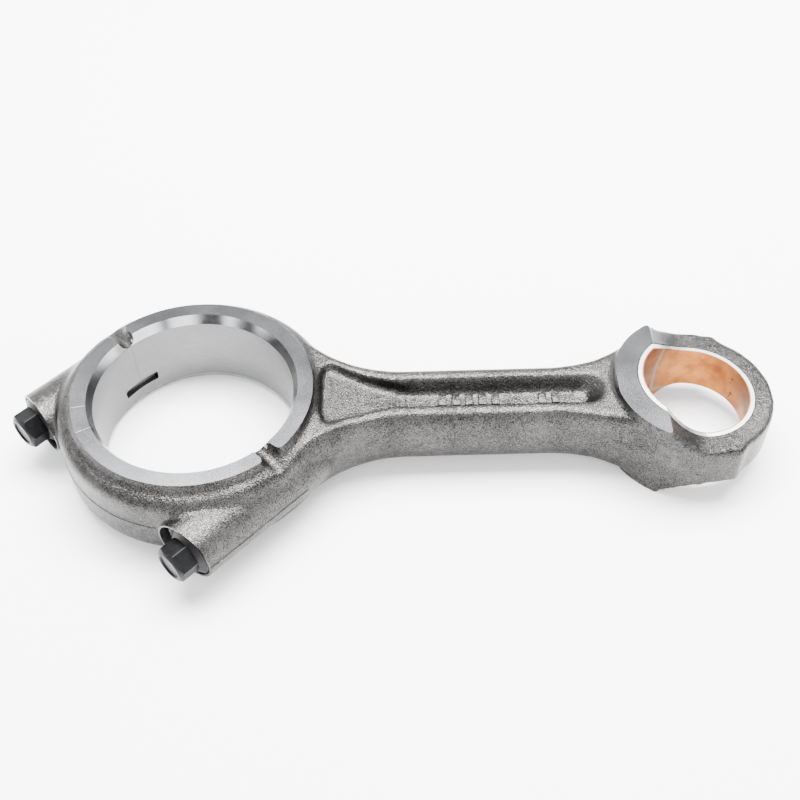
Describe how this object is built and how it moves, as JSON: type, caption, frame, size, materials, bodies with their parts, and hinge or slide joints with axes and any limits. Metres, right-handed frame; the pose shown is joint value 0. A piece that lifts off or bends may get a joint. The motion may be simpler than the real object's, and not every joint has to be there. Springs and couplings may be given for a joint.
{
  "type": "engine connecting rod",
  "caption": "Forged I-section connecting rod with an obliquely split big end, bolted bearing cap and a bronze-lined piston-pin bush.",
  "frame": {"origin": "centre of the box in plan, on the plane of the lower machined faces", "axes": "+X from the crank bore towards the piston-pin bore, +Z along both bores"},
  "size_m": [0.296, 0.1266, 0.036],
  "materials": {
    "forged_steel": "shot-blasted forged steel, with turned and ground faces left bright",
    "bush_steel": "bright turned steel",
    "bush_bronze": "fine-bored bronze, satin",
    "bolt_steel": "black phosphate on steel, oiled"
  },
  "bodies": {
    "rod": {"rod_forging": "forged_steel", "pin_bush_shell": "bush_steel", "pin_bush_lining": "bush_bronze"},
    "cap": {"bearing_cap": "forged_steel"},
    "bolt_1": {"cap_bolt_1": "bolt_steel"},
    "bolt_2": {"cap_bolt_2": "bolt_steel"}
  },
  "joints": [
    {"name": "cap_slide", "type": "slide", "parent": "rod", "child": "cap", "axis": [-0.7071, -0.7071, 0], "range_m": [0, 0.06]},
    {"name": "bolt_1_slide", "type": "slide", "parent": "cap", "child": "bolt_1", "axis": [-0.7071, -0.7071, 0], "range_m": [0, 0.065]},
    {"name": "bolt_2_slide", "type": "slide", "parent": "cap", "child": "bolt_2", "axis": [-0.7071, -0.7071, 0], "range_m": [0, 0.065]}
  ]
}
